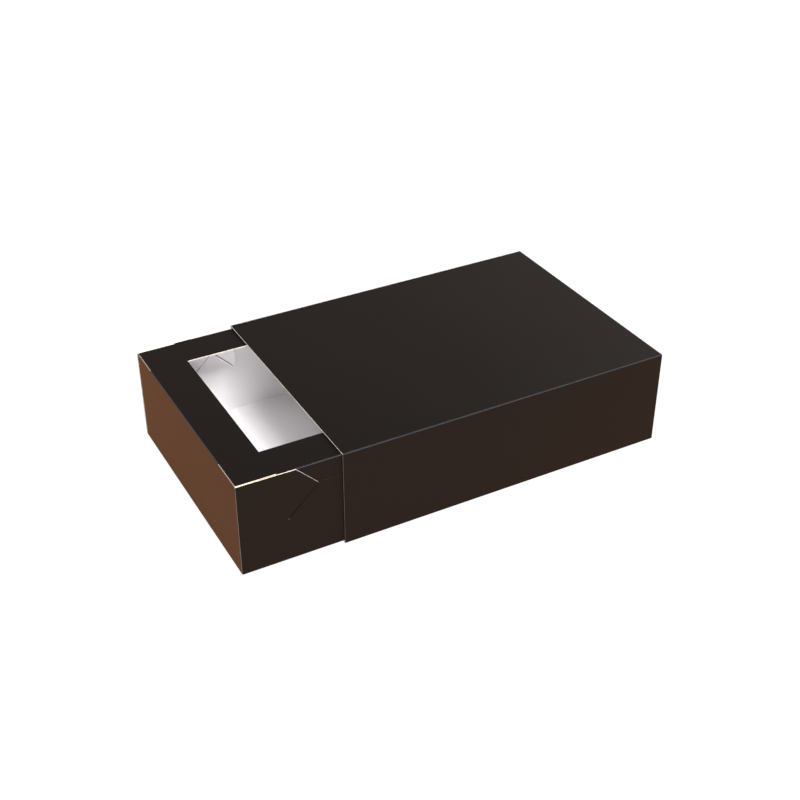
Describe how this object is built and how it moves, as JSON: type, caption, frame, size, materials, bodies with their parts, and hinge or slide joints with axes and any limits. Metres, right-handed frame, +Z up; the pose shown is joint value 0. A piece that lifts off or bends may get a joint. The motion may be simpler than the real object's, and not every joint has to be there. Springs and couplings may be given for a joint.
{
  "type": "sliding drawer gift box",
  "caption": "Folded card gift box: a shallow rectangular drawer with a window lid and hooked corners slides in an open-ended card sleeve.",
  "frame": {"origin": "centre of the sleeve's underside", "axes": "+Z up, +Y along the box towards the back of the sleeve, -Y the way the drawer slides out, +X across the box to the right"},
  "size_m": [0.1326, 0.233, 0.0519],
  "materials": {
    "sleeve_card": "satin black printed card outside, uncoated white inside, cream cut edges",
    "drawer_card": "satin black printed card outside, uncoated white inside, cream cut edges"
  },
  "bodies": {
    "sleeve": {"sleeve_top_panel": "sleeve_card", "sleeve_right_panel": "sleeve_card", "sleeve_left_panel": "sleeve_card", "sleeve_bottom_panel": "sleeve_card", "sleeve_glue_flap": "sleeve_card"},
    "drawer": {"drawer_base": "drawer_card", "drawer_front_wall": "drawer_card", "drawer_back_wall": "drawer_card", "drawer_right_wall": "drawer_card", "drawer_left_wall": "drawer_card", "corner_wing_front_right": "drawer_card", "corner_wing_front_left": "drawer_card", "corner_wing_back_right": "drawer_card", "corner_wing_back_left": "drawer_card", "window_lid": "drawer_card", "lid_right_skirt": "drawer_card", "lid_left_skirt": "drawer_card", "lid_tuck_flap": "drawer_card"}
  },
  "joints": [
    {"name": "drawer_slide", "type": "slide", "parent": "sleeve", "child": "drawer", "axis": [0, -1, 0], "range_m": [-0.0525, 0.128]}
  ]
}
